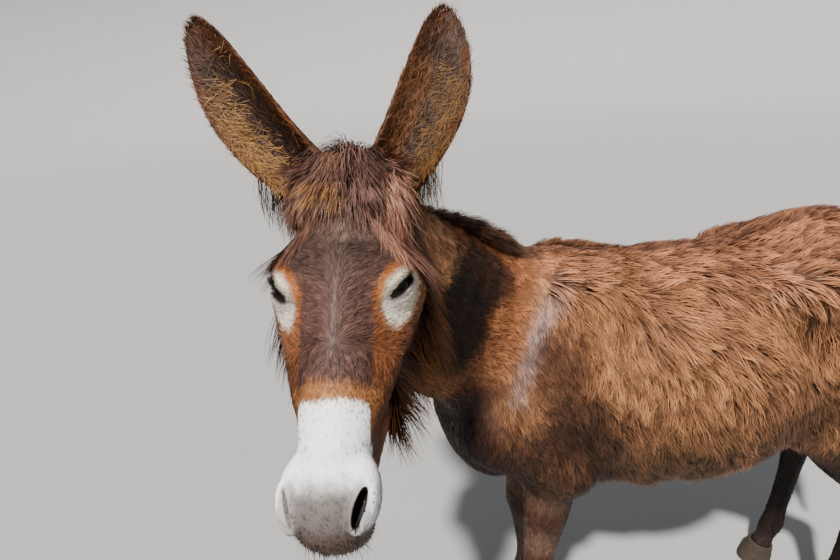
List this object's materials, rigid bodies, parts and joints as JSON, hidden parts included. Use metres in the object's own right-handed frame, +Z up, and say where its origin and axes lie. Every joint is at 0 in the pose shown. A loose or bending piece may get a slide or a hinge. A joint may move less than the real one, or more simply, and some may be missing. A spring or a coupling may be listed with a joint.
{
  "type": "standing donkey, still life-size model",
  "caption": "Life-size brown donkey in a long coat, standing on all fours with its head turned to its left; no moving parts.",
  "frame": {"origin": "on the ground, under the middle of the animal's bounding box", "axes": "+Z up, the trunk's front faces -Y, the animal's left side is +X; the head is turned towards +X"},
  "size_m": [0.8878, 1.6026, 1.65],
  "materials": {
    "body_coat": "long shaggy brown coat with tan tips",
    "face_coat": "short chocolate brown coat, white muzzle, pale rings round the eyes",
    "ear_coat": "rust brown coat, dark and full of blond hair inside",
    "leg_coat": "short greyish brown coat",
    "long_hair": "long dark hair with tan tips",
    "hoof_horn": "dark grey ridged horn",
    "eye": "wet dark brown eye"
  },
  "bodies": {
    "root": {"trunk": "body_coat", "neck": "body_coat", "head": "face_coat", "ear_left": "ear_coat", "ear_right": "ear_coat", "eye_left": "eye", "eye_right": "eye", "mane": "long_hair", "forelock": "long_hair", "tail_dock": "body_coat", "tail_tuft": "long_hair", "fore_left_upper": "leg_coat", "fore_left_lower": "leg_coat", "fore_left_hoof": "hoof_horn", "fore_right_upper": "leg_coat", "fore_right_lower": "leg_coat", "fore_right_hoof": "hoof_horn", "hind_left_upper": "leg_coat", "hind_left_lower": "leg_coat", "hind_left_hoof": "hoof_horn", "hind_right_upper": "leg_coat", "hind_right_lower": "leg_coat", "hind_right_hoof": "hoof_horn"}
  },
  "joints": []
}
